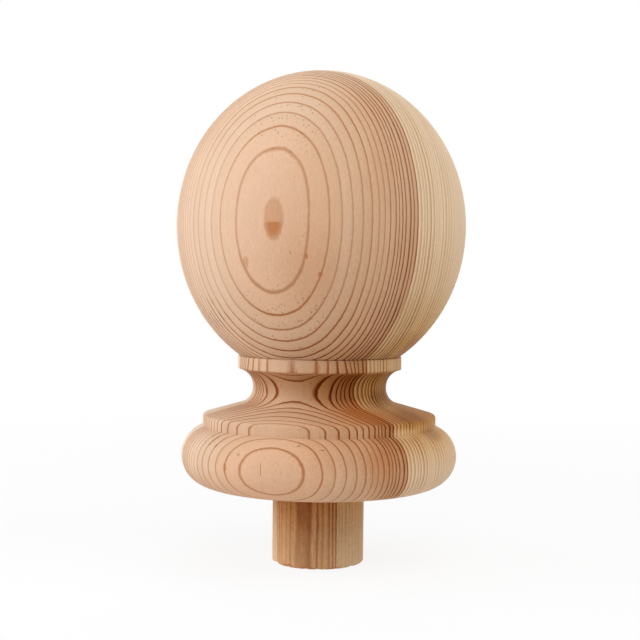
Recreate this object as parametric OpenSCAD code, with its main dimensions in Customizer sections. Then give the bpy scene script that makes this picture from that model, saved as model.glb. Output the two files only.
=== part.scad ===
// Turned wooden ball cap for a fence post: an oval ball on a moulded pedestal,
// both glued on one dowel whose free end is the spigot that drops into the post.
// Millimetres, +Z up. The origin is on the axis, in the plane that sits on the post.

/* [Ball] */
// Width of the ball at its widest
ball_d = 88; // [80:1:100]
// Height of the full oval that the ball's outline follows
ball_h = 94.5; // [86:0.5:110]

/* [Collar] */
// Diameter of the narrow band that the ball sits on
collar_d = 50; // [47:0.5:56]
// Height of that band
collar_h = 3.9; // [2:0.1:8]
// How far the band stands out past the ball at the joint
shoulder = 0.6; // [0.2:0.1:1.5]
// Width of the flat underside of the band
collar_lip = 0.3; // [0.2:0.1:1]

/* [Hollow] */
// Diameter of the neck at its narrowest
neck_d = 40.8; // [38:0.2:44]
// Height of the neck's straight stretch between its two curves
neck_h = 0.3; // [0.1:0.1:4]
// Radius of the curve under the collar
cove_r = 5.6; // [4:0.1:8]
// Radius of the curve that turns the neck out into the flare
flare_r = 5.1; // [3:0.1:7]
// Fall of the flare towards the step, in degrees
flare_slope = 16; // [8:1:24]

/* [Base] */
// Diameter of the round bead at the foot
base_d = 84; // [80:1:94]
// Height of the bead
bead_h = 18.4; // [15:0.2:20]
// Diameter of the step on top of the bead
step_d = 71.2; // [68:0.2:75]
// Height of the step's top edge above the bead
step_h = 3; // [1.5:0.1:5]
// Radius that softens the step's top edge
step_round = 0.8; // [0.3:0.1:1.2]

/* [Spigot] */
// Diameter of the dowel
dowel_d = 28; // [20:1:32]
// Length of the dowel that stands out below the base
spigot_h = 23.6; // [15:0.2:40]
// Depth of the dowel's hole in the ball
socket_depth = 30; // [15:1:45]
// Bevel on the dowel's two ends
dowel_bevel = 0.6; // [0.3:0.1:2]
// Room for glue round the dowel, on the radius
glue_gap = 0.1; // [0.05:0.05:0.3]
// Height of the ring groove just inside the base, which catches spare glue
groove_h = 1.5; // [1:0.5:4]
// Depth of that groove
groove_depth = 0.5; // [0.3:0.1:1]

/* [Hidden] */
$fn = 128;

// How far a cut runs past the face that it opens
past = 1;

collar_r = collar_d / 2;
neck_r = neck_d / 2;
step_r = step_d / 2;
dowel_r = dowel_d / 2;
bore_r = dowel_r + glue_gap;
bead_r = bead_h / 2;

// Distance from the axis to the centre of the bead's round
bead_c = base_d / 2 - bead_r;

// Level of the step's top edge, were it sharp
step_z = bead_h + step_h;

// Height of the flare's straight stretch at a distance from the axis
function flare_z(r) = step_z + (step_r - r) * tan(flare_slope);

// Square to the flare, pointing out of the wood
flare_out = [sin(flare_slope), cos(flare_slope)];

// Centres of the three rounds: the step's edge, flare to neck, and neck to collar
edge_c = [step_r - step_round, step_z - step_round * (1 - sin(flare_slope)) / cos(flare_slope)];
flare_c = [neck_r + flare_r, flare_z(neck_r + flare_r) + flare_r / cos(flare_slope)];
cove_c = [neck_r + cove_r, flare_c.y + neck_h];

// The cove runs up to the collar's lip, or level, whichever comes first
cove_end = min(collar_r - collar_lip, cove_c.x);

// Levels of the collar's underside, the ball's seat and the dowel's top
collar_z = cove_c.y + sqrt(pow(cove_r, 2) - pow(cove_c.x - cove_end, 2));
seat_z = collar_z + collar_h;
dowel_top = seat_z + socket_depth;

// The ball's centre, so that its flat has the radius that the collar leaves it
seat_r = collar_r - shoulder;
ball_z = seat_z + ball_h / 2 * sqrt(1 - pow(2 * seat_r / ball_d, 2));

// Half section of the ball, from the axis outwards
module ball_section() {
    intersection() {
        translate([0, ball_z])
            scale([1, ball_h / ball_d])
                circle(d = ball_d);
        translate([0, seat_z])
            square([ball_d, ball_h]);
    }
}

// Half section of the step, neck and collar, from the axis outwards
module neck_section() {
    difference() {
        polygon([
            [0, bead_r],
            [step_r, bead_r],
            [step_r, edge_c.y],
            edge_c + step_round * flare_out,
            flare_c - flare_r * flare_out,
            flare_c,
            [neck_r, flare_c.y],
            [neck_r, cove_c.y],
            cove_c,
            [cove_end, collar_z],
            [collar_r, collar_z],
            [collar_r, seat_z],
            [0, seat_z]
        ]);
        translate(flare_c)
            circle(r = flare_r);
        translate(cove_c)
            circle(r = cove_r);
    }
    translate(edge_c)
        circle(r = step_round);
}

// Half section of the round bead, from the axis outwards
module bead_section() {
    square([bead_c, bead_h]);
    translate([bead_c, bead_r])
        circle(r = bead_r);
}

// Oval ball with a blind hole for the dowel
module ball() {
    color("burlywood")
        difference() {
            rotate_extrude()
                ball_section();
            translate([0, 0, seat_z - past])
                cylinder(r = bore_r, h = socket_depth + past);
        }
}

// Collar, hollow neck, step and bead, bored through for the dowel
module pedestal() {
    color("tan")
        difference() {
            rotate_extrude() {
                bead_section();
                neck_section();
            }
            translate([0, 0, -past])
                cylinder(r = bore_r, h = seat_z + 2 * past);
        }
}

// Dowel with bevelled ends, from its seat in the ball to the free end of the spigot
module spigot() {
    color("peru")
        rotate_extrude()
            polygon([
                [0, -spigot_h],
                [dowel_r - dowel_bevel, -spigot_h],
                [dowel_r, dowel_bevel - spigot_h],
                [dowel_r, 0],
                [dowel_r - groove_depth, 0],
                [dowel_r - groove_depth, groove_h],
                [dowel_r, groove_h],
                [dowel_r, dowel_top - dowel_bevel],
                [dowel_r - dowel_bevel, dowel_top],
                [0, dowel_top]
            ]);
}

ball();
pedestal();
spigot();
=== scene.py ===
"""Looks of a turned softwood ball cap for a fence post.

Three turned pieces, a ball, a pedestal and a dowel, are worked out as surfaces of revolution.
The growth rings of one stem run through ball and pedestal as a solid pattern, and those of another
through the dowel. They stand in a plain white studio.
Sizes are in millimetres unless a name says otherwise; the meshes are written in metres.
"""

from __future__ import annotations

import logging
import math
from collections.abc import Callable
from dataclasses import dataclass, field
from enum import Enum
from typing import Any, Union

import bpy
import numpy as np
from mathutils import Matrix, Vector


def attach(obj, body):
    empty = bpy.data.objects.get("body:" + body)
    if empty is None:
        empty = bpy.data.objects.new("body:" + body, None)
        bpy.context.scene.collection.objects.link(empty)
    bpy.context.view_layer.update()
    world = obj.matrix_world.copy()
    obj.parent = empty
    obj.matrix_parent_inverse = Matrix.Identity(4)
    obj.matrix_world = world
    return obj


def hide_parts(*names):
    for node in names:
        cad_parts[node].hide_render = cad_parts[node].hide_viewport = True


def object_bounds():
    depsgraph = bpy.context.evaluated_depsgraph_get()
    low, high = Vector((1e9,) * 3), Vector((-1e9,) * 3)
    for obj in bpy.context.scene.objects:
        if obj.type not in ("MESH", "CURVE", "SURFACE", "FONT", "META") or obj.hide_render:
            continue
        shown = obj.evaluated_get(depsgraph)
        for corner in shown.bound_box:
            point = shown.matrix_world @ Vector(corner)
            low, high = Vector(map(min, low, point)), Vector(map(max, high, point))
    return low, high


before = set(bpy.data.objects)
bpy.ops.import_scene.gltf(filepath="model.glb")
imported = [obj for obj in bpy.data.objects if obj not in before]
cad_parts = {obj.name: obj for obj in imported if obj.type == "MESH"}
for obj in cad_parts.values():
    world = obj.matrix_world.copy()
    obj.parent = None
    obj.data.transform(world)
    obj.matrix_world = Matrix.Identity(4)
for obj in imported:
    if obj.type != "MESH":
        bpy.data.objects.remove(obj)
CAD_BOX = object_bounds()

LOG = logging.getLogger("post_cap")
MM = 0.001
BODY = "root"
WHITE = (1.0, 1.0, 1.0)

Pair = tuple[float, float]
Triple = tuple[float, float, float]
Colour = tuple[float, float, float]
Stop = tuple[float, float, float, float]
Feed = Union["Signal", float, int]
Settings = dict[str, Any] | None
Inputs = dict[str | int, Any] | None


def srgb(red: int, green: int, blue: int) -> Colour:
    """Turns a screen colour of 0 to 255 a channel into the linear colour that shaders take.

    Args:
        red: Red channel.
        green: Green channel.
        blue: Blue channel.

    Returns:
        The linear colour, by the usual screen curve.
    """
    shares = np.array([red, green, blue]) / 255
    low = shares / 12.92
    high = ((shares + 0.055) / 1.055) ** 2.4
    return tuple(float(v) for v in np.where(shares <= 0.04045, low, high))


def math_method(operation: str, swap: bool = False) -> Callable[..., Signal]:
    """Makes a method of Signal that adds one Math node.

    Args:
        operation: The Math node's operation.
        swap: True puts the signal after the other operand.

    Returns:
        The method, which takes the other operands.
    """

    def method(self: Signal, *others: Feed) -> Signal:
        """Adds the node and gives its result."""
        feeds = (*others, self) if swap else (self, *others)
        return self.bench.signal("ShaderNodeMath", {"operation": operation}, dict(enumerate(feeds)))

    return method


class Signal:
    """A shader socket that Python arithmetic works on, adding a Math node for each operation."""

    __add__ = __radd__ = math_method("ADD")
    __sub__ = math_method("SUBTRACT")
    __rsub__ = math_method("SUBTRACT", swap=True)
    __mul__ = __rmul__ = math_method("MULTIPLY")
    __truediv__ = math_method("DIVIDE")
    __rtruediv__ = math_method("DIVIDE", swap=True)
    __pow__ = math_method("POWER")
    __abs__ = math_method("ABSOLUTE")
    fract = math_method("FRACT")
    floor = math_method("FLOOR")
    at_least = math_method("MAXIMUM")
    at_most = math_method("MINIMUM")

    def __init__(self, bench: Bench, socket: bpy.types.NodeSocket) -> None:
        """Keeps the bench that adds the nodes, and the socket."""
        self.bench = bench
        self.socket = socket

    def unit(self) -> Signal:
        """Held between 0 and 1."""
        return self.at_least(0.0).at_most(1.0)

    def rise(self, start: float, end: float) -> Signal:
        """Smooth step.

        Args:
            start: Where the step leaves 0.
            end: Where it reaches 1; below start, the step falls.

        Returns:
            A signal from 0 to 1.
        """
        inputs = {"Value": self, "From Min": start, "From Max": end}
        return self.bench.signal("ShaderNodeMapRange", {"interpolation_type": "SMOOTHSTEP"}, inputs)


class Bench:
    """Adds nodes to one material's or world's tree."""

    def __init__(self, owner: bpy.types.Material | bpy.types.World) -> None:
        """Gives the owner an empty tree, and keeps it.

        Args:
            owner: The material or the world.
        """
        owner.use_nodes = True
        self.tree = owner.node_tree
        self.tree.nodes.clear()

    def node(self, kind: str, settings: Settings = None, inputs: Inputs = None) -> bpy.types.Node:
        """Adds a node, sets it up, then feeds its sockets.

        Args:
            kind: The node's type.
            settings: The node's own settings; "stops" holds a ramp's places and colours.
            inputs: A value or signal for each input, by name or number.

        Returns:
            The node.
        """
        made = self.tree.nodes.new(kind)
        for name, value in (settings or {}).items():
            if name == "stops":
                self.set_stops(made.color_ramp, value)
            else:
                setattr(made, name, value)
        for name, value in (inputs or {}).items():
            socket = made.inputs[name]
            if isinstance(value, Signal):
                self.tree.links.new(value.socket, socket)
            elif socket.type == "RGBA":
                socket.default_value = (*value, 1.0)
            else:
                socket.default_value = value
        return made

    def set_stops(self, ramp: bpy.types.ColorRamp, stops: list[tuple[float, Stop]]) -> None:
        """Gives a ramp its stops.

        Args:
            ramp: The ramp.
            stops: Place of each stop, from left to right, and its four channels.
        """
        while len(ramp.elements) > 1:
            ramp.elements.remove(ramp.elements[-1])
        for number, (place, colour) in enumerate(stops):
            stop = ramp.elements[0] if number == 0 else ramp.elements.new(place)
            stop.position = place
            stop.color = colour

    def signal(
        self, kind: str, settings: Settings = None, inputs: Inputs = None, output: str | int = 0
    ) -> Signal:
        """Adds a node and gives one of its outputs.

        Args:
            kind: The node's type.
            settings: The node's own settings.
            inputs: A value or signal for each input.
            output: The output's name or number.

        Returns:
            That output.
        """
        return Signal(self, self.node(kind, settings, inputs).outputs[output])

    def mix(self, share: Feed, first: Any, second: Any, blend: str = "MIX") -> Signal:
        """Mixes two colours.

        Args:
            share: How much of the second colour shows.
            first: First colour.
            second: Second colour.
            blend: The Mix node's blend type.

        Returns:
            The mixed colour.
        """
        settings = {"data_type": "RGBA", "blend_type": blend}
        return self.signal("ShaderNodeMix", settings, {0: share, 6: first, 7: second}, 2)

    def vector(self, operation: str, first: Any, second: Any) -> Signal:
        """Adds one Vector Math node.

        Args:
            operation: The node's operation.
            first: First vector.
            second: Second vector.

        Returns:
            The resulting vector.
        """
        return self.signal("ShaderNodeVectorMath", {"operation": operation}, {0: first, 1: second})

    def length(self, vector: Signal) -> Signal:
        """Length of a vector."""
        return self.signal("ShaderNodeVectorMath", {"operation": "LENGTH"}, {0: vector}, "Value")

    def split(self, whole: Signal, kind: str = "XYZ") -> list[Signal]:
        """The three parts of a vector, or of a colour where the kind is Color."""
        parts = self.node(f"ShaderNodeSeparate{kind}", None, {0: whole}).outputs
        return [Signal(self, part) for part in parts]

    def grey(self, level: Signal) -> Signal:
        """The colour that has one level in all its channels."""
        return self.signal("ShaderNodeCombineColor", None, {0: level, 1: level, 2: level})

    def place(self) -> Signal:
        """Place on the object, in metres."""
        return self.signal("ShaderNodeTexCoord", None, None, "Object")

    def noise(self, place: Signal, pitch: Triple, detail: float = 1.0) -> Signal:
        """Soft noise centred on 0, about half a unit either way.

        Args:
            place: Place in millimetres.
            pitch: Size of the noise's lumps along the three axes, in millimetres.
            detail: Finer layers added to it.

        Returns:
            The noise.
        """
        scaled = self.vector("DIVIDE", place, pitch)
        inputs = {"Vector": scaled, "Scale": 1.0, "Detail": detail}
        return self.signal("ShaderNodeTexNoise", None, inputs) - 0.5


class Mark(Enum):
    """What a mark is, in the wood or painted shade; the value is its colour. Amber and honey are only
    painted shade; tear is both a real tear colour and painted shade.
    """

    RESIN = srgb(184, 116, 64)
    TEAR_AND_SHADE = srgb(124, 74, 42)
    CLOUD = srgb(184, 122, 74)
    SHADE_AMBER = srgb(206, 134, 62)
    SHADE_HONEY = srgb(176, 130, 60)
    PALE = srgb(245, 225, 205)


class Edge(Enum):
    """How a mark fades; the values are the shares of its size where it begins and where it is full."""

    CRISP = (1.05, 0.8)
    PLAIN = (1.1, 0.7)
    DEEP = (1.1, 0.4)
    BROKEN = (1.2, 0.5)
    SOFT = (1.3, 0.4)
    CLOUDY = (1.3, 0.2)


@dataclass(frozen=True)
class Blemish:
    """A mark, an oval ball at a place in the part: most are in the wood, some are painted shade.

    Fray says how ragged its edge is. It may be cut off at a height, its top, and it may show only in
    the late-wood lines, as torn dashes along them.
    """

    mark: Mark
    centre: Triple
    half_size: Triple
    depth: float
    edge: Edge = Edge.PLAIN
    fray: float = 0.6
    top: float | None = None
    top_blur: float = 0.3
    in_lines: bool = False
    line_rise: Pair = (0.0, 0.5)
    dash_pitch: Triple = (2.0, 2.0, 3.0)
    dash_rise: Pair = (-0.1, 0.05)

    def shown(self, grain: Grain, late: Signal) -> Signal:
        """How much of the mark shows: the offset from its centre over its half size gives the reach.

        Args:
            grain: The wood at the point.
            late: 1 in a late-wood line.

        Returns:
            0 outside the mark, up to its depth inside.
        """
        bench = grain.bench
        offset = bench.vector("SUBTRACT", grain.place, self.centre)
        reach = bench.length(bench.vector("DIVIDE", offset, self.half_size))
        spot = (reach + grain.fuzz * self.fray).rise(*self.edge.value) * self.depth
        if self.top is not None:
            spot = spot * grain.z.rise(self.top + self.top_blur, self.top - self.top_blur)
        if self.in_lines:
            dashes = bench.noise(grain.place, self.dash_pitch).rise(*self.dash_rise)
            spot = spot * late.rise(*self.line_rise) * dashes
        return spot


@dataclass(frozen=True)
class Level:
    """How the wood looks at one height: the painted shade there.

    Side paints shade that deepens the colour towards the shaded right side, even paints shade all round,
    as under the collar and the bead, and edge paints shade only far out on the right. Lines says how
    much darker than usual the late-wood lines are, which is partly painted shade.
    """

    z: float
    side: float = 0.0
    lines: float = 0.0
    even: float = 0.0
    edge: float = 0.0


@dataclass(frozen=True)
class Swing:
    """A stretch where the rings swing away from their oval, over some height and distance."""

    height: float
    height_reach: float
    distance: float
    distance_reach: float
    shift: float


@dataclass(frozen=True)
class Stem:
    """The stem that ball and pedestal were cut from.

    A ring is an oval round the pith, which stands outside the part, in front of it and to the left.
    Each ring has the outer edge of its late wood, as an oval distance from the pith, and a darkness.
    The pith leans and bows: both are given at the reach above and below the middle height.
    The edge of the heartwood is one ring further out high up. Pitches are the sizes of noise.
    """

    pith: Pair = (-22.0, -73.8)
    oval: float = 1.07
    middle_z: float = 60.0
    reach: float = 60.0
    lean: Pair = (0.24, -0.50)
    bow: Pair = (0.31, 0.27)
    heart_rings: tuple[Pair, ...] = (
        (28.4, 0.6), (31.0, 0.7), (35.1, 1.0), (38.25, 1.0), (41.0, 0.75), (43.6, 0.85),
        (46.4, 0.9), (48.9, 1.0), (50.9, 0.85), (52.6, 0.85), (54.3, 1.0), (56.1, 0.85),
        (57.2, 0.8), (58.3, 0.95), (59.5, 0.8), (61.2, 0.78), (62.4, 0.68),
    )
    sap_rings: tuple[Pair, ...] = (
        (63.9, 0.7), (65.4, 0.65), (66.7, 0.5), (67.7, 0.8), (69.3, 0.8), (70.7, 0.65), (71.8, 0.3),
        (72.9, 0.4), (73.8, 0.2), (74.9, 0.65), (76.7, 0.5), (78.1, 0.5), (79.6, 0.5), (81.5, 0.3),
        (82.6, 0.35),
    )
    far_ring: float = 1.5
    core: Pair = (44.0, 34.0)
    band: Pair = (51.0, 59.0)
    low_heart: float = 62.5
    high_heart: float = 63.9
    heart_climb: Pair = (45.0, 65.0)
    heart_blur: Pair = (-0.2, 0.3)
    swings: tuple[Swing, ...] = (
        Swing(22.7, 2.9, 44.5, 14.0, 1.5),
        Swing(32.0, 9.0, 57.5, 5.0, -1.1),
        Swing(-9.0, 12.0, 59.2, 2.6, -0.5),
        Swing(77.5, 19.0, 35.1, 3.2, 0.68),
    )
    wander: float = 0.2
    wander_pitch: Triple = (30.0, 30.0, 90.0)
    waver: float = 0.4
    waver_pitch: Triple = (7.0, 7.0, 16.0)
    jag: float = 0.2
    jag_pitch: Triple = (0.9, 0.9, 2.5)
    fibre_pitch: Triple = (0.5, 0.5, 14.0)
    fibre_detail: float = 2.0
    fuzz_pitch: Triple = (0.5, 0.5, 1.0)
    cloud_pitch: Triple = (12.0, 12.0, 30.0)

    def distance(self, bench: Bench, place: Signal) -> Signal:
        """Oval distance from the bowed pith, plus swings and noise drawn out along the grain.

        Args:
            bench: Where the nodes go.
            place: Place in millimetres.

        Returns:
            The distance in millimetres.
        """
        x, y, z = bench.split(place)
        up = (z - self.middle_z) / self.reach
        across = (x - self.pith[0] - up * (up * self.bow[0] + self.lean[0])) * self.oval
        away = (y - self.pith[1] - up * (up * self.bow[1] + self.lean[1])) / self.oval
        plain = (across * across + away * away) ** 0.5
        total = plain
        for swing in self.swings:
            level = abs(z - swing.height).rise(swing.height_reach, 0.0)
            depth = abs(plain - swing.distance).rise(swing.distance_reach, 0.0)
            total = total + level * depth * swing.shift
        wander = bench.noise(place, self.wander_pitch) * self.wander
        waver = bench.noise(place, self.waver_pitch) * self.waver
        jag = bench.noise(place, self.jag_pitch) * self.jag
        return total + wander + waver + jag

    def rings(self, bench: Bench, distance: Signal) -> tuple[Signal, Signal]:
        """Counts rings: a whole number at each ring's edge, and even steps between edges.

        Args:
            bench: Where the nodes go.
            distance: Distance from the pith.

        Returns:
            The count, and the darkness of the ring's late wood.
        """
        rings = self.heart_rings + self.sap_rings
        first, edge = rings[0][0], rings[-1][0]
        span = edge - first
        last = len(rings) - 1
        stops = [
            ((outer - first) / span, (number / last, dark, 0.0, 1.0))
            for number, (outer, dark) in enumerate(rings)
        ]
        ramp = bench.signal("ShaderNodeValToRGB", {"stops": stops}, {0: (distance - first) / span})
        count, darkness, _ = bench.split(ramp, "Color")
        return count * last + (distance - edge).at_least(0.0) / self.far_ring, darkness


@dataclass(frozen=True)
class DowelStem(Stem):
    """The stem that the dowel was cut from, with finer rings."""

    pith: Pair = (-19.6, -72.25)
    lean: Pair = (0.24, 0.15)
    bow: Pair = (0.31, 0.0)
    heart_rings: tuple[Pair, ...] = (
        (53.0, 0.4), (56.0, 0.5), (57.75, 0.62), (58.4, 0.62), (59.05, 0.35), (60.2, 0.5),
        (60.9, 0.65), (61.7, 0.7),
    )
    sap_rings: tuple[Pair, ...] = (
        (62.5, 0.4), (63.3, 0.35), (64.5, 0.4), (65.7, 0.35), (67.1, 0.35), (68.5, 0.4), (70.0, 0.35),
    )
    low_heart: float = 61.8
    high_heart: float = 61.8
    swings: tuple[Swing, ...] = ()
    waver: float = 0.3


class Grain:
    """The wood at a point, as signals.

    They say where the point is in millimetres, how far it lies from the pith, which share of its
    ring has passed there, what the ring is like, which part of the stem it is in, and its noise.
    """

    def __init__(self, bench: Bench, stem: Stem) -> None:
        """Works out the signals.

        Args:
            bench: Where the nodes go.
            stem: The stem that the wood was cut from.
        """
        self.bench = bench
        self.place = bench.vector("DIVIDE", bench.place(), (MM, MM, MM))
        self.x, _, self.z = bench.split(self.place)
        self.distance = stem.distance(bench, self.place)
        count, self.darkness = stem.rings(bench, self.distance)
        self.age = count.fract()
        by_ring = {"noise_dimensions": "1D"}
        self.chance = bench.signal("ShaderNodeTexWhiteNoise", by_ring, {"W": count.floor()})
        self.in_core = self.distance.rise(*stem.core)
        self.in_band = self.distance.rise(*stem.band)
        heart = self.z.rise(*stem.heart_climb) * (stem.high_heart - stem.low_heart) + stem.low_heart
        self.in_sap = (self.distance - heart).rise(*stem.heart_blur)
        self.fibre = bench.noise(self.place, stem.fibre_pitch, stem.fibre_detail)
        self.fuzz = bench.noise(self.place, stem.fuzz_pitch)
        self.cloud = bench.noise(self.place, stem.cloud_pitch)


class Cut(Enum):
    """How a piece's surface was left.

    The values say how steeply a late-wood line begins, over which share of the next ring it ends,
    and how much the fibres change the colour.
    """

    SANDED = (1.6, 0.06, 0.15)
    SAWN = (1.0, 0.3, 0.32)


@dataclass(frozen=True)
class LateWood:
    """Late wood, the dark end of each ring: how much of the ring it takes up, and how dark it is.

    Its share of a ring grows with the square of the distance from the pith, from a start and over a
    reach, and is larger in the sapwood.
    """

    start: float = 31.0
    reach: float = 33.0
    least: float = 0.105
    outer: float = 0.36
    in_sap: float = 0.2
    heart_depth: float = 0.58
    band_depth: float = 0.52
    sap_calm: float = 0.6
    sap_fade: float = 0.15
    cloud_level: float = 0.9
    cloud_swing: float = 0.5

    def line(self, grain: Grain, cut: Cut) -> Signal:
        """Dark line that grows over the last share of a ring and drops at once at its edge.

        Args:
            grain: The wood at the point.
            cut: How the surface was left.

        Returns:
            0 in early wood, 1 at the ring's edge.
        """
        outward = ((grain.distance - self.start) / self.reach).unit()
        share = outward * outward * self.outer + grain.in_sap * self.in_sap + self.least
        gain, tail, _ = cut.value
        growing = ((1.0 - (1.0 - grain.age) / share) * gain).unit()
        ending = (1.0 - grain.age / tail).unit()
        return growing.at_least(ending)

    def depth(self, grain: Grain, lines: Signal, calm: Signal) -> Signal:
        """How dark the line is: the ring's own darkness, clouded, times the stem's and the height's; the
        height's is partly painted shade.

        Args:
            grain: The wood at the point.
            lines: Extra darkness at this height, partly painted shade.
            calm: What is left of the darkness at this place; on the lit left it is faded as painted
                glare.

        Returns:
            0 to 1.
        """
        strength = grain.in_band * self.band_depth + lines * (1.0 - grain.in_sap * self.sap_calm)
        strength = (strength + self.heart_depth) * (1.0 - grain.in_sap * self.sap_fade) * calm
        clouded = grain.darkness * (grain.cloud * self.cloud_swing + self.cloud_level)
        return (clouded * strength).unit()


@dataclass(frozen=True)
class Canals:
    """Resin canals: short tubes in the outer half of a ring, cut across as dots.

    They show in patches, and most where the ball's surface cuts across the grain.
    """

    colour: Colour = srgb(122, 72, 38)
    shown: float = 0.1
    least: float = 0.15
    cell: Triple = (0.95, 0.95, 1.3)
    dot: Pair = (0.27, 0.13)
    patch_pitch: Triple = (5.0, 5.0, 3.0)
    patch_rise: Pair = (0.0, 0.2)
    patch_gain: float = 0.2
    age: Pair = (0.25, 0.5)
    middle_z: float = 78.5
    cross_z: Pair = (13.0, 21.0)
    middle_x: float = -9.0
    cross_x: Pair = (17.0, 7.0)

    def dots(self, grain: Grain) -> Signal:
        """Round dots about the middles of uneven cells, in patches.

        Args:
            grain: The wood at the point.

        Returns:
            0 in plain wood, up to 1 in a canal.
        """
        bench = grain.bench
        scaled = bench.vector("DIVIDE", grain.place, self.cell)
        settings = {"voronoi_dimensions": "3D", "feature": "F1"}
        inputs = {"Vector": scaled, "Scale": 1.0}
        near = bench.signal("ShaderNodeTexVoronoi", settings, inputs, "Distance")
        high_or_low = abs(grain.z - self.middle_z).rise(*self.cross_z)
        across = high_or_low * abs(grain.x - self.middle_x).rise(*self.cross_x)
        noise = bench.noise(grain.place, self.patch_pitch)
        patches = (noise + across * self.patch_gain).rise(*self.patch_rise)
        strength = patches * grain.age.rise(*self.age) * (across * self.shown + self.least)
        return near.rise(*self.dot) * strength


@dataclass(frozen=True)
class SoftwoodFinish:
    """Bare turned softwood: pink-brown heartwood, cream sapwood and dark late-wood lines.

    The levels give the painted shade at each height: 0 is the plain colour, and the hollows, where shade
    falls, are painted deeper. Shade and rim are the stretches along x over which the shaded right side
    gets painted shade, and glow the stretch over which the lit left side gets painted light, paler.
    Quiet is the share by which lines fade over its reach on the lit left, as painted glare; below 0 they
    deepen there.
    """

    slot: str
    levels: tuple[Level, ...]
    cut: Cut = Cut.SANDED
    stem: Stem = Stem()
    late_wood: LateWood = LateWood()
    canals: Canals = Canals()
    blemishes: tuple[Blemish, ...] = ()
    # Painted shade over the shade and rim stretches on the right; painted light over the glow stretch on
    # the left.
    shade: Pair = (-18.0, 22.0)
    rim: Pair = (16.0, 31.0)
    glow: Pair = (10.0, 36.0)
    glow_z: float = 60.0
    glow_lean: float = 0.5
    painted_light_share: float = 0.12
    quiet: float = 0.15
    quiet_reach: Pair = (-18.0, -36.0)
    early_pink: Colour = srgb(220, 184, 154)
    early_core: Colour = srgb(223, 180, 146)
    early_tan: Colour = srgb(210, 174, 140)
    early_red: Colour = srgb(206, 168, 134)
    red_level: float = 0.6
    red_swing: float = 1.5
    sap: Colour = srgb(229, 204, 173)
    late_heart: Colour = srgb(176, 108, 56)
    late_red: Colour = srgb(138, 79, 40)
    late_sap: Colour = srgb(190, 151, 110)
    # Late wood in deep painted shade.
    late_in_painted_shade: Colour = srgb(152, 80, 16)
    sap_painted_shade_cut: float = 0.4
    cloud_streak: float = 0.1
    painted_shade_streak: float = 0.06
    # Warmth of deep painted shade.
    shade_warmth_heart: Colour = (1.0, 1.02, 0.6)
    shade_warmth_sap: Colour = (1.0, 0.97, 0.55)
    shade_warmth_from: float = 0.3
    shade_warmth_gain: float = 0.8
    line_height: float = 0.06
    fibre_height: float = 0.6
    bump_strength: float = 0.25
    bump_depth: float = 0.1
    roughness: float = 0.55
    line_polish: float = 0.06
    fibre_roughness: float = 0.2
    specular: float = 0.05

    def painted_shading_at(self, grain: Grain) -> tuple[Signal, Signal, Signal]:
        """Reads the levels at the point's height, and adds up the painted shade and painted light there.

        Args:
            grain: The wood at the point.

        Returns:
            The painted shade on the shaded side, the extra darkness of lines, and the whole painted
            shading, less the painted light on the left.
        """
        bench, x, z = grain.bench, grain.x, grain.z
        low, high = self.levels[0].z, self.levels[-1].z
        span = high - low
        stops = [((v.z - low) / span, (v.side, v.lines, v.even, v.edge)) for v in self.levels]
        ramp = bench.node("ShaderNodeValToRGB", {"stops": stops}, {0: (z - low) / span})
        colour, edge = (Signal(bench, part) for part in ramp.outputs)
        side, lines, even = bench.split(colour, "Color")
        # Painted light: the lit left side, leaning with height, is made paler; the sum is painted shade
        # less painted light.
        pale = ((z - self.glow_z) * self.glow_lean - x).rise(*self.glow) * self.painted_light_share
        return side, lines, even + side * x.rise(*self.shade) + edge * x.rise(*self.rim) - pale

    def woods(self, grain: Grain, hollow: Signal) -> tuple[Signal, Signal]:
        """Early wood, pink to tan from ring to ring, and late wood, brown, by the part of the stem, and
        deeper in painted shade.

        Args:
            grain: The wood at the point.
            hollow: The painted shade on the shaded side at this height, which deepens late wood.

        Returns:
            The colours of early and of late wood.
        """
        bench = grain.bench
        early = bench.mix((grain.chance + grain.age) * 0.5, self.early_pink, self.early_tan)
        early = bench.mix(grain.in_core, early, self.early_core)
        red = grain.in_band * (grain.cloud * self.red_swing + self.red_level)
        early = bench.mix(red.unit(), early, self.early_red)
        early = bench.mix(grain.in_sap, early, self.sap)
        dark = bench.mix(grain.in_band, self.late_heart, self.late_red)
        dark = bench.mix(grain.in_sap, dark, self.late_sap)
        # Late wood in painted shade turns deeper, less so in the sapwood.
        deep = hollow.unit() * (1.0 - grain.in_sap * self.sap_painted_shade_cut)
        return early, bench.mix(deep, dark, self.late_in_painted_shade)

    def colour(self, grain: Grain, late: Signal) -> Signal:
        """Lays the lines, canals, streaks and marks over the early wood, then paints shade and light on
        it.

        The painted shading is the power, past 1, that the colour is raised to: painted shade above 0,
        which is also warmer where deep, and painted light below 0.

        Args:
            grain: The wood at the point.
            late: 1 in a late-wood line.

        Returns:
            The finished colour.
        """
        bench = grain.bench
        hollow, lines, painted_shading = self.painted_shading_at(grain)
        # Painted glare: the lines fade on the lit left by the quiet share.
        calm = 1.0 - grain.x.rise(*self.quiet_reach) * self.quiet
        share = late * self.late_wood.depth(grain, lines, calm)
        colour = bench.mix(share, *self.woods(grain, hollow))
        colour = bench.mix(self.canals.dots(grain), colour, self.canals.colour)

        _, _, fibres = self.cut.value
        streak = (grain.fibre + grain.fuzz) * fibres + grain.cloud * self.cloud_streak
        # Painted shade darkens the streaks on the shaded side.
        streak = (streak - hollow * self.painted_shade_streak + 1.0).at_least(0.0)
        colour = bench.mix(1.0, colour, bench.grey(streak), "MULTIPLY")
        for blemish in self.blemishes:
            colour = bench.mix(blemish.shown(grain, late), colour, blemish.mark.value)

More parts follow.
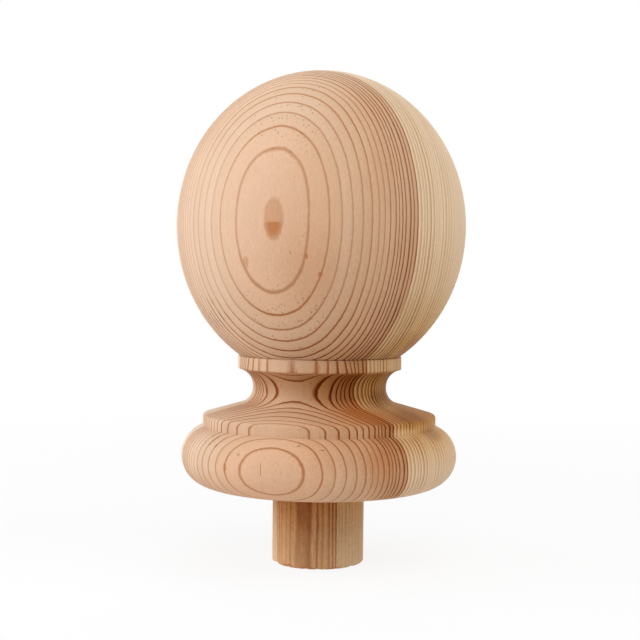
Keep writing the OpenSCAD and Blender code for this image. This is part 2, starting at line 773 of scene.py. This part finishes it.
        # Painted shade and painted light: the colour is raised to a power; deep painted shade is also
        # warmer.
        colour = bench.signal("ShaderNodeGamma", None, {0: colour, 1: painted_shading + 1.0})
        shade_warmth = bench.mix(grain.in_sap, self.shade_warmth_heart, self.shade_warmth_sap)
        return bench.mix(((painted_shading - self.shade_warmth_from) * self.shade_warmth_gain).unit(), colour, shade_warmth, "MULTIPLY")

    def dress(self) -> bpy.types.Material:
        """Makes the material.

        Returns:
            The material, named for its slot.
        """
        material = bpy.data.materials.new(f"{self.slot}_grain")
        bench = Bench(material)
        grain = Grain(bench, self.stem)
        late = self.late_wood.line(grain, self.cut)
        relief = {
            "Strength": self.bump_strength,
            "Distance": self.bump_depth * MM,
            "Height": late * self.line_height + grain.fibre * self.fibre_height,
        }
        rough = late * -self.line_polish + grain.fibre * self.fibre_roughness + self.roughness
        looks = {
            "Base Color": self.colour(grain, late),
            "Roughness": rough.unit(),
            "Specular IOR Level": self.specular,
            "Normal": bench.signal("ShaderNodeBump", None, relief),
        }
        shader = bench.signal("ShaderNodeBsdfPrincipled", None, looks)
        bench.node("ShaderNodeOutputMaterial", None, {"Surface": shader})
        return material


@dataclass(frozen=True)
class BallFinish(SoftwoodFinish):
    """The ball's wood: a resin patch in the middle of the rings, dots above and below it, and painted
    shade low down by the collar and on its right.
    """

    slot: str = "ball_wood"
    # Painted shade by height: deepest at the bottom, by the collar, and on the shaded right.
    levels: tuple[Level, ...] = (
        Level(39.0, 0.8, 0.85, 0.0, 1.0),
        Level(44.0, 0.45, 0.8, 0.0, 1.1),
        Level(48.0, 0.33, 0.6, 0.0, 0.5),
        Level(54.0, 0.28, 0.36, 0.0, 0.3),
        Level(60.0, 0.22, 0.15, 0.0, 0.12),
        Level(80.0, 0.1, 0.03),
        Level(95.0, 0.1, 0.05),
        Level(104.0, 0.07, 0.3),
        Level(122.0, 0.05, 0.4),
    )
    canals: Canals = Canals(shown=0.5)
    blemishes: tuple[Blemish, ...] = (
        Blemish(Mark.RESIN, (-13.0, -41.9, 78.6), (3.0, 4.0, 6.4), 0.45, Edge.CRISP, 0.15),
        Blemish(Mark.RESIN, (-13.0, -41.9, 77.1), (2.7, 4.0, 4.2), 0.85, Edge.DEEP, 0.2, top=77.8),
        Blemish(Mark.CLOUD, (16.0, -38.0, 93.0), (5.5, 12.0, 18.0), 0.15, Edge.CLOUDY),
        Blemish(Mark.CLOUD, (-2.5, -42.0, 63.5), (9.0, 10.0, 14.0), 0.19, Edge.CLOUDY),
        Blemish(Mark.CLOUD, (13.0, -26.0, 110.0), (7.0, 14.0, 8.0), 0.15, Edge.CLOUDY),
        Blemish(Mark.RESIN, (-20.7, -37.2, 67.0), (0.9, 1.5, 1.9), 0.45),
        Blemish(Mark.RESIN, (-3.9, -42.8, 68.5), (0.5, 1.0, 0.9), 0.7),
        Blemish(Mark.RESIN, (-0.2, -41.8, 63.7), (0.6, 1.0, 0.8), 0.7),
        Blemish(Mark.TEAR_AND_SHADE, (-4.8, -42.8, 74.0), (0.3, 0.8, 0.5), 0.5),
        Blemish(Mark.TEAR_AND_SHADE, (-8.3, -42.0, 69.5), (0.3, 0.8, 0.5), 0.4),
        Blemish(Mark.TEAR_AND_SHADE, (-30.0, -18.0, 52.0), (7.0, 12.0, 6.0), 0.9, Edge.BROKEN, in_lines=True),
    )
    # Late wood in deep painted shade, for the ball.
    late_in_painted_shade: Colour = srgb(126, 68, 22)


@dataclass(frozen=True)
class PedestalFinish(SoftwoodFinish):
    """The pedestal's wood: painted shade in the hollow under the collar and on the flare's shaded right,
    and torn dashes on the bead.
    """

    slot: str = "pedestal_wood"
    # Painted shade by height: deepest in the neck under the collar and on the flare's shaded right.
    levels: tuple[Level, ...] = (
        Level(0.0, 0.1, 0.15, 0.08),
        Level(8.0, 0.2, 0.18),
        Level(13.0, 0.36, 0.25, 0.0, 0.1),
        Level(18.0, 0.42, 0.42, 0.0, 0.5),
        Level(20.0, 0.42, 0.65, 0.0, 0.75),
        Level(22.0, 0.68, 0.6, 0.0, 1.1),
        Level(25.0, 0.68, 0.7, 0.0, 1.1),
        Level(28.0, 1.45, 0.4, 0.0, 1.6),
        Level(31.0, 1.15, 0.3, 0.24, 0.7),
        Level(34.5, 1.05, 0.3, 0.4, 0.4),
        Level(36.0, 0.6, 0.2, 0.03),
        Level(39.0, 0.6, 0.18),
    )
    blemishes: tuple[Blemish, ...] = (
        # Painted shade: the first four marks darken the flare and the bead on the shaded right.
        Blemish(Mark.SHADE_AMBER, (15.0, -25.0, 24.5), (13.0, 10.0, 4.5), 0.32, Edge.CLOUDY),
        Blemish(Mark.SHADE_HONEY, (26.0, -17.0, 22.8), (6.0, 9.0, 3.0), 0.3, Edge.CLOUDY),
        Blemish(Mark.TEAR_AND_SHADE, (18.0, -12.5, 27.0), (4.5, 8.0, 3.5), 0.25, Edge.CLOUDY),
        Blemish(Mark.TEAR_AND_SHADE, (34.0, -16.0, 17.5), (4.0, 8.0, 2.5), 0.22, Edge.CLOUDY),
        Blemish(Mark.PALE, (25.0, -25.5, 18.6), (4.5, 8.0, 1.4), 0.4, Edge.SOFT),
        Blemish(Mark.CLOUD, (17.0, -37.0, 11.0), (5.5, 12.0, 8.0), 0.4, Edge.CLOUDY),
        Blemish(Mark.CLOUD, (4.0, -39.0, 15.0), (12.0, 10.0, 9.0), 0.18, Edge.CLOUDY),
        Blemish(Mark.RESIN, (-26.4, -32.7, 9.4), (0.7, 0.9, 1.4), 0.6),
        Blemish(Mark.TEAR_AND_SHADE, (-16.0, -38.6, 10.0), (0.16, 0.8, 2.4), 0.5),
        Blemish(Mark.TEAR_AND_SHADE, (-22.4, -34.3, 13.3), (0.5, 0.5, 0.5), 0.35),
        Blemish(Mark.TEAR_AND_SHADE, (-29.5, -25.0, 16.0), (4.5, 6.0, 2.2), 0.9, Edge.BROKEN, in_lines=True),
        Blemish(Mark.TEAR_AND_SHADE, (1.0, -39.6, 15.4), (0.8, 0.6, 0.25), 0.4),
        Blemish(Mark.TEAR_AND_SHADE, (-5.6, -38.3, 16.3), (0.7, 0.6, 0.2), 0.4),
        Blemish(Mark.RESIN, (-0.8, -25.0, 36.8), (1.0, 1.0, 2.2), 0.4),
        Blemish(Mark.RESIN, (2.4, -24.9, 36.8), (0.5, 1.0, 2.2), 0.35),
    )
    # Painted shade on the far right rim, and painted light on the lit left; lines deepen on the left.
    rim: Pair = (15.0, 29.0)
    glow: Pair = (4.0, 14.0)
    painted_light_share: float = 0.2
    quiet: float = -0.25
    early_red: Colour = srgb(198, 154, 114)
    sap: Colour = srgb(230, 205, 176)
    late_sap: Colour = srgb(198, 160, 119)


@dataclass(frozen=True)
class DowelFinish(SoftwoodFinish):
    """The dowel's wood: straight streaks, rougher than the rest, painted shade at the top under the
    bead, and browned at the sawn end.
    """

    slot: str = "dowel_wood"
    cut: Cut = Cut.SAWN
    # Painted shade by height: deepest at the top, in the shadow under the bead.
    levels: tuple[Level, ...] = (
        Level(-24.0, 0.1, 0.05),
        Level(-14.0, 0.3, 0.2, 0.17),
        Level(0.0, 0.6, 0.35, 0.72),
    )
    stem: Stem = DowelStem()
    blemishes: tuple[Blemish, ...] = (
        Blemish(Mark.RESIN, (-9.0, -10.7, -23.5), (3.0, 3.0, 1.1), 0.5),
        Blemish(Mark.RESIN, (-3.0, -13.7, -23.6), (2.5, 2.0, 1.0), 0.5),
        Blemish(Mark.RESIN, (5.5, -12.9, -23.6), (3.0, 2.0, 0.8), 0.4),
    )
    shade: Pair = (14.0, 15.0)
    quiet: float = 0.45
    quiet_reach: Pair = (-3.0, -8.0)
    early_pink: Colour = srgb(222, 180, 140)
    early_tan: Colour = srgb(212, 168, 126)
    early_red: Colour = srgb(206, 161, 114)
    sap: Colour = srgb(222, 189, 150)
    late_heart: Colour = srgb(184, 104, 30)


@dataclass
class Outline:
    """Half section of a turned piece: distance from the axis, and height, of each point."""

    pitch: float
    runs: list[np.ndarray] = field(default_factory=list)
    same_point: float = 1e-6
    least_steps: int = 3

    def start(self, r: float, z: float) -> Outline:
        """Sets the first point."""
        self.runs = [np.array([[r, z]])]
        return self

    def line(self, r: float, z: float, pitch: float | None = None) -> Outline:
        """Runs straight on: even steps from the last point to the new one.

        Args:
            r: Distance from the axis at the end.
            z: Height at the end.
            pitch: Length of a step, if not the outline's own.

        Returns:
            The outline.
        """
        last = self.runs[-1][-1]
        end = np.array([r, z])
        steps = max(1, math.ceil(float(np.hypot(*(end - last))) / (pitch or self.pitch)))
        shares = np.linspace(0, 1, steps + 1)[1:, None]
        self.runs.append(last + (end - last) * shares)
        return self

    def curve(self, centre: Pair, radii: Pair, turn: Pair, pitch: float | None = None) -> Outline:
        """Runs along an oval: the centre plus the radii times the cosine and sine of the turn.

        Args:
            centre: Centre of the oval.
            radii: Radius outwards and upwards.
            turn: First and last angle in degrees, from outwards to upwards.
            pitch: Length of a step, if not the outline's own.

        Returns:
            The outline.
        """
        swing = math.radians(abs(turn[1] - turn[0]))
        steps = max(self.least_steps, math.ceil(max(radii) * swing / (pitch or self.pitch)))
        angles = np.radians(np.linspace(*turn, steps + 1))
        points = np.stack([np.cos(angles), np.sin(angles)], 1) * radii + centre
        near = np.hypot(*(points[0] - self.runs[-1][-1])) < self.same_point
        self.runs.append(points[1:] if near else points)
        return self

    def points(self) -> np.ndarray:
        """All points in order, one row each."""
        return np.concatenate(self.runs)


@dataclass
class Lathe:
    """Carries an outline round the axis. Edges sharper than the crease, in degrees, stay sharp."""

    turns: int = 400
    crease: float = 35.0

    def grid(self, outline: np.ndarray) -> np.ndarray:
        """Surface of revolution: the point at angle a is (r cos a, r sin a, z).

        Args:
            outline: Distance from the axis and height of each point.

        Returns:
            Points as an array of outline places by angles by three.
        """
        angles = np.linspace(0, 2 * math.pi, self.turns, endpoint=False)
        r, z = outline[:, 0, None], outline[:, 1, None]
        flat = np.zeros_like(angles)
        return np.stack([r * np.cos(angles), r * np.sin(angles), z + flat], 2)

    def solid(self, name: str, grid: np.ndarray, ring: bool) -> bpy.types.Object:
        """Makes a closed mesh from a grid of points.

        Args:
            name: The piece's name.
            grid: Points by outline place and angle; places go down outside, so faces point out.
            ring: True closes the outline on itself; False closes both ends in a point on the axis.

        Returns:
            The object, at the origin.
        """
        places, turns = grid.shape[:2]
        number = np.arange(places * turns).reshape(places, turns)
        after = np.roll(number, -1, axis=1)
        below, below_after = np.roll(number, -1, axis=0), np.roll(after, -1, axis=0)
        quads = np.stack([number, below, below_after, after], 2)
        if not ring:
            quads = quads[:-1]
        points = grid.reshape(-1, 3)
        faces = quads.reshape(-1, 4).tolist()
        if not ring:
            poles = grid[[0, -1]].mean(1)
            top, bottom = len(points), len(points) + 1
            points = np.concatenate([points, poles])
            lid = np.stack([np.full(turns, top), number[0], after[0]], 1)
            base = np.stack([np.full(turns, bottom), after[-1], number[-1]], 1)
            faces += lid.tolist() + base.tolist()
        mesh = bpy.data.meshes.new(name)
        mesh.from_pydata((points * MM).tolist(), [], faces)
        mesh.validate()
        mesh.shade_smooth()
        mesh.set_sharp_from_angle(angle=math.radians(self.crease))
        piece = bpy.data.objects.new(name, mesh)
        bpy.context.scene.collection.objects.link(piece)
        return piece


@dataclass
class TurnedPiece:
    """What the three turned pieces share: a CAD node to stand for, a finish and a lathe.

    Pitches are the mesh's steps where it shows, on flat faces and where it is hidden. The core is the
    circle of points that ends a hidden face. A ring has a hole right through it.
    """

    name: str
    node: str
    finish: SoftwoodFinish
    lathe: Lathe = field(default_factory=Lathe)
    ring: bool = False
    pitch: float = 0.6
    flat_pitch: float = 2.0
    hidden_pitch: float = 3.0
    core_r: float = 1.0

    def outline(self) -> Outline:
        """Half section of the piece; each piece has its own."""
        raise NotImplementedError

    def shape(self, grid: np.ndarray) -> np.ndarray:
        """Marks left on the turned surface; none unless a piece has its own."""
        return grid

    def make(self) -> bpy.types.Object:
        """Turns, dresses and places the piece.

        Returns:
            The finished object.
        """
        grid = self.shape(self.lathe.grid(self.outline().points()))
        piece = self.lathe.solid(self.name, grid, self.ring)
        piece.data.materials.append(self.finish.dress())
        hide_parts(self.node)
        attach(piece, BODY)
        return piece


@dataclass
class Ball(TurnedPiece):
    """Oval ball, flat where it sits on the collar, with a blind hole for the dowel."""

    name: str = "turned_ball"
    node: str = "ball"
    finish: SoftwoodFinish = BallFinish()
    pitch: float = 0.7
    width: float = 88.0
    height: float = 94.5
    centre_z: float = 78.56
    seat_z: float = 39.25
    hole_r: float = 14.1
    hole_depth: float = 30.0
    crown_r: float = 0.35
    crown_turn: float = 89.1

    def outline(self) -> Outline:
        """Down the oval to its flat, in to the hole, up its wall and in to the axis.

        Returns:
            The outline.
        """
        radii = (self.width / 2, self.height / 2)
        stop = math.degrees(math.asin((self.seat_z - self.centre_z) / radii[1]))
        hole_top = self.seat_z + self.hole_depth
        path = Outline(self.pitch).start(self.crown_r, self.centre_z + radii[1])
        path.curve((0.0, self.centre_z), radii, (self.crown_turn, stop))
        path.line(self.hole_r, self.seat_z, self.flat_pitch)
        path.line(self.hole_r, hole_top, self.hidden_pitch)
        return path.line(self.core_r, hole_top, self.hidden_pitch)


@dataclass
class Pedestal(TurnedPiece):
    """Collar, hollow neck, sloping flare, step and round bead, with a hole right through."""

    name: str = "turned_pedestal"
    node: str = "pedestal"
    finish: SoftwoodFinish = PedestalFinish()
    ring: bool = True
    pitch: float = 0.5
    ease_pitch: float = 0.15
    edge_pitch: float = 0.2
    seat_z: float = 39.25
    collar_r: float = 25.0
    collar_z: float = 35.35
    collar_ease: float = 0.3
    lip_r: float = 24.7
    cove_centre: Pair = (26.0, 29.9)
    cove_r: float = 5.6
    flare_centre: Pair = (25.5, 29.6)
    flare_r: float = 5.1
    slope: float = 16.0
    step_r: float = 35.6
    step_round: float = 0.8
    step_edge_z: float = 20.8
    bead_r: float = 9.2
    bead_centre_r: float = 32.8
    hole_r: float = 14.1

    def outline(self) -> Outline:
        """Out over the collar, down neck, flare, step and bead, and back up the hole.

        Returns:
            The outline.
        """
        ease, inner = self.collar_ease, self.collar_r - self.collar_ease
        path = Outline(self.pitch).start(self.hole_r, self.seat_z)
        path.line(inner, self.seat_z, self.flat_pitch)
        path.curve((inner, self.seat_z - ease), (ease,) * 2, (90, 0), self.ease_pitch)
        path.line(self.collar_r, self.collar_z + ease)
        path.curve((inner, self.collar_z + ease), (ease,) * 2, (0, -90), self.ease_pitch)
        lip_turn = math.degrees(math.acos((self.lip_r - self.cove_centre[0]) / self.cove_r))
        path.curve(self.cove_centre, (self.cove_r,) * 2, (lip_turn, 180))
        path.curve(self.flare_centre, (self.flare_r,) * 2, (180, 270 - self.slope))
        edge_r, edge_z = self.step_r - self.step_round, self.step_edge_z
        out = math.radians(90 - self.slope)
        path.line(edge_r + self.step_round * math.cos(out), edge_z + self.step_round * math.sin(out))
        path.curve((edge_r, edge_z), (self.step_round,) * 2, (90 - self.slope, 0), self.edge_pitch)
        meet = math.degrees(math.acos((self.step_r - self.bead_centre_r) / self.bead_r))
        path.line(self.step_r, self.bead_r * (1 + math.sin(math.radians(meet))))
        path.curve((self.bead_centre_r, self.bead_r), (self.bead_r,) * 2, (meet, -90))
        path.line(self.hole_r, 0.0, self.flat_pitch)
        path.line(self.hole_r, self.seat_z, self.hidden_pitch)
        # The last point is the first one again.
        path.runs[-1] = path.runs[-1][:-1]
        return path


@dataclass
class Dowel(TurnedPiece):
    """Dowel from its seat in the ball down to the sawn end of the spigot.

    Each wave that frays its rim has a count and a phase, and the chip a middle and a half width.
    """

    name: str = "dowel_spigot"
    node: str = "spigot"
    finish: SoftwoodFinish = DowelFinish()
    wall_pitch: float = 4.0
    rim_pitch: float = 0.2
    end_pitch: float = 0.7
    end_core_r: float = 0.6
    radius: float = 14.0
    top_z: float = 69.25
    end_z: float = -23.6
    bevel: float = 0.6
    rim: float = 0.35
    groove_h: float = 1.5
    groove_depth: float = 0.5
    fray: float = 0.12
    fray_width: float = 0.9
    fray_height: float = 4.0
    fray_waves: tuple[Pair, ...] = ((7, 0.6), (17, 2.1), (29, 4.0))
    chip: float = 0.6
    chip_turn: Pair = (203.0, 9.0)
    chip_edge: float = 2.5

    def outline(self) -> Outline:
        """Out over the hidden end, down the wall past the glue groove, and in under the sawn end.

        Returns:
            The outline.
        """
        wall, groove = self.radius, self.radius - self.groove_depth
        path = Outline(self.pitch).start(self.core_r, self.top_z)
        path.line(wall - self.bevel, self.top_z, self.hidden_pitch)
        path.line(wall, self.top_z - self.bevel)
        path.line(wall, self.groove_h, self.wall_pitch)
        for r, z in ((groove, self.groove_h), (groove, 0.0), (wall, 0.0), (wall, self.end_z + self.rim)):
            path.line(r, z)
        path.line(wall - self.rim, self.end_z, self.rim_pitch)
        return path.line(self.end_core_r, self.end_z, self.end_pitch)

    def shape(self, grid: np.ndarray) -> np.ndarray:
        """Frays the sawn rim: it is lifted by the sum of the waves, where above 0, and at the chip.

        The lift is full at the rim and fades inwards over the fray's width and up over its height.

        Args:
            grid: Points by outline place and angle.

        Returns:
            The same points with the rim lifted.
        """
        x, y, z = np.moveaxis(grid, 2, 0)
        angle = np.degrees(np.arctan2(y, x)) % 360
        turn = np.radians(angle)
        waves = sum(np.sin(count * turn + phase) for count, phase in self.fray_waves)
        middle, half = self.chip_turn
        chip = np.clip((half - np.abs(angle - middle)) / self.chip_edge, 0, 1)
        lift = self.fray * np.clip(waves, 0, None) + self.chip * chip
        near_rim = np.clip((np.hypot(x, y) - self.radius + self.fray_width) / self.fray_width, 0, 1)
        near_end = np.clip(1 - (z - self.end_z) / self.fray_height, 0, 1)
        return np.stack([x, y, z + lift * near_rim * near_end], 2)


class Light(Enum):
    """Colour of a lamp's light."""

    PLAIN = WHITE
    COOL = (0.98, 1.0, 1.08)


@dataclass
class Lamp:
    """A square soft box that faces the part. Lengths in metres."""

    name: str
    place: Triple
    watts: float
    light: Light = Light.PLAIN
    side: float = 0.6

    def make(self, target: Vector) -> None:
        """Hangs the lamp.

        Args:
            target: The point it faces, in metres.
        """
        data = bpy.data.lights.new(self.name, "AREA")
        data.shape = "SQUARE"
        data.size = self.side
        data.energy = self.watts
        data.color = self.light.value
        lamp = bpy.data.objects.new(self.name, data)
        lamp.location = self.place
        lamp.rotation_euler = (target - lamp.location).to_track_quat("-Z", "Y").to_euler()
        bpy.context.scene.collection.objects.link(lamp)


@dataclass
class Studio:
    """White floor, white surroundings and soft light, mostly from the left. Lengths in metres.

    To the camera the floor glows, less so near the part, where it takes a faint shadow. To other light
    only the small disc under the foot glows.
    """

    floor_z: float
    floor_r: float = 4.0
    floor_sides: int = 96
    floor_level: float = 0.9
    floor_seen: float = 0.05
    floor_glow: float = 0.86
    floor_spread: Pair = (0.12, 0.5)
    foot_glow: float = 0.4
    foot_reach: Pair = (0.036, 0.027)
    surround: float = 0.02
    lamps: tuple[Lamp, ...] = (
        Lamp("left_box", (-0.90, 0.00, 0.05), 3.25, Light.COOL),
        Lamp("left_half_box", (-0.78, 0.00, 0.45), 2.6, Light.COOL),
        Lamp("left_front_box", (-0.56, -0.56, 0.40), 1.8),
        Lamp("left_back_box", (-0.70, 0.60, 0.15), 1.5, Light.COOL),
        Lamp("top_box", (0.00, 0.00, 0.98), 1.4),
        Lamp("front_high_box", (0.00, -0.64, 0.69), 2.55),
        Lamp("right_high_box", (0.56, -0.30, 0.66), 2.75),
        Lamp("right_box", (0.90, -0.10, 0.10), 1.7),
        Lamp("right_back_box", (0.60, 0.60, 0.20), 0.7),
        Lamp("back_high_box", (0.00, 0.64, 0.69), 1.2),
    )

    def seen(self, bench: Bench) -> Signal:
        """1 where the camera looks straight, off a gloss or through glass, and 0 for other light.

        Args:
            bench: Where the nodes go.

        Returns:
            The signal.
        """
        ray = bench.node("ShaderNodeLightPath")
        names = ("Is Camera Ray", "Is Glossy Ray", "Is Transmission Ray")
        camera, glossy, through = (Signal(bench, ray.outputs[name]) for name in names)
        return camera.at_least(glossy).at_least(through)

    def surroundings(self) -> None:
        """White to the camera, and a plain even level of light on the part."""
        world = bpy.data.worlds.new("white_surroundings")
        bench = Bench(world)
        level = self.seen(bench) * (1.0 - self.surround) + self.surround
        sky = bench.signal("ShaderNodeBackground", None, {"Color": WHITE, "Strength": level})
        bench.node("ShaderNodeOutputWorld", None, {"Surface": sky})
        bpy.context.scene.world = world

    def floor_finish(self) -> bpy.types.Material:
        """Matte white that glows as the class says, and is clear to a camera that looks from below.

        Returns:
            The material.
        """
        material = bpy.data.materials.new("pale_floor")
        bench = Bench(material)
        seen = self.seen(bench)
        pale = bench.grey(seen * self.floor_seen + self.floor_level)
        matte = bench.signal("ShaderNodeBsdfDiffuse", None, {"Color": pale})
        glow = bench.signal("ShaderNodeEmission", None, {"Color": WHITE, "Strength": 1.0})
        clear = bench.signal("ShaderNodeBsdfTransparent")
        reach = bench.length(bench.place())
        share = reach.rise(*self.floor_spread) * (1.0 - self.floor_glow) + self.floor_glow
        foot = reach.rise(*self.foot_reach) * self.foot_glow
        glowing = seen * share + (1.0 - seen) * foot
        lit = bench.signal("ShaderNodeMixShader", None, {0: glowing, 1: matte, 2: glow})
        below = bench.signal("ShaderNodeNewGeometry", None, None, "Backfacing")
        shown = bench.signal("ShaderNodeMixShader", None, {0: seen * below, 1: lit, 2: clear})
        bench.node("ShaderNodeOutputMaterial", None, {"Surface": shown})
        return material

    def floor(self) -> None:
        """Round floor under the spigot's end: the rim's point at angle a is r (cos a, sin a)."""
        angles = np.linspace(0, 2 * math.pi, self.floor_sides, endpoint=False)
        height = np.full_like(angles, self.floor_z)
        rim = np.stack([np.cos(angles) * self.floor_r, np.sin(angles) * self.floor_r, height], 1)
        mesh = bpy.data.meshes.new("floor")
        mesh.from_pydata(rim.tolist(), [], [list(range(self.floor_sides))])
        mesh.materials.append(self.floor_finish())
        floor = bpy.data.objects.new("floor", mesh)
        bpy.context.scene.collection.objects.link(floor)

    def make(self, target: Vector) -> None:
        """Sets up the floor, the surroundings and the lamps.

        Args:
            target: The point that the lamps face, in metres.
        """
        self.surroundings()
        self.floor()
        for lamp in self.lamps:
            lamp.make(target)
        bpy.context.scene.view_settings.view_transform = "Standard"


@dataclass
class Viewpoint:
    """Camera square to the front, at the height of the ball's lower half, tilted down a little.

    The nearest distance that shows is in metres, and pitch and roll are in degrees.
    """

    lens: float = 67.5
    sensor: float = 36.0
    place: Triple = (-0.06, -368.0, 59.8)
    pitch: float = 1.495
    roll: float = 0.63
    nearest: float = 0.01

    def make(self) -> None:
        """Places the camera and makes it the scene's own."""
        data = bpy.data.cameras.new("viewpoint")
        data.lens = self.lens
        data.sensor_width = self.sensor
        data.clip_start = self.nearest
        camera = bpy.data.objects.new("viewpoint", data)
        level = Matrix.Rotation(math.radians(90 - self.pitch), 4, "X")
        rolled = Matrix.Rotation(math.radians(self.roll), 4, "Z")
        camera.matrix_world = Matrix.Translation(Vector(self.place) * MM) @ level @ rolled
        bpy.context.scene.collection.objects.link(camera)
        bpy.context.scene.camera = camera


def main() -> None:
    """Builds the camera, the studio and the three pieces."""
    logging.basicConfig(level=logging.INFO, format="%(name)s: %(message)s")
    low, high = CAD_BOX
    Viewpoint().make()
    Studio(floor_z=low.z).make((low + high) / 2)
    for piece in (Ball(), Pedestal(), Dowel()):
        made = piece.make()
        LOG.info("%s: %d faces", made.name, len(made.data.polygons))


if __name__ == "__main__":
    main()
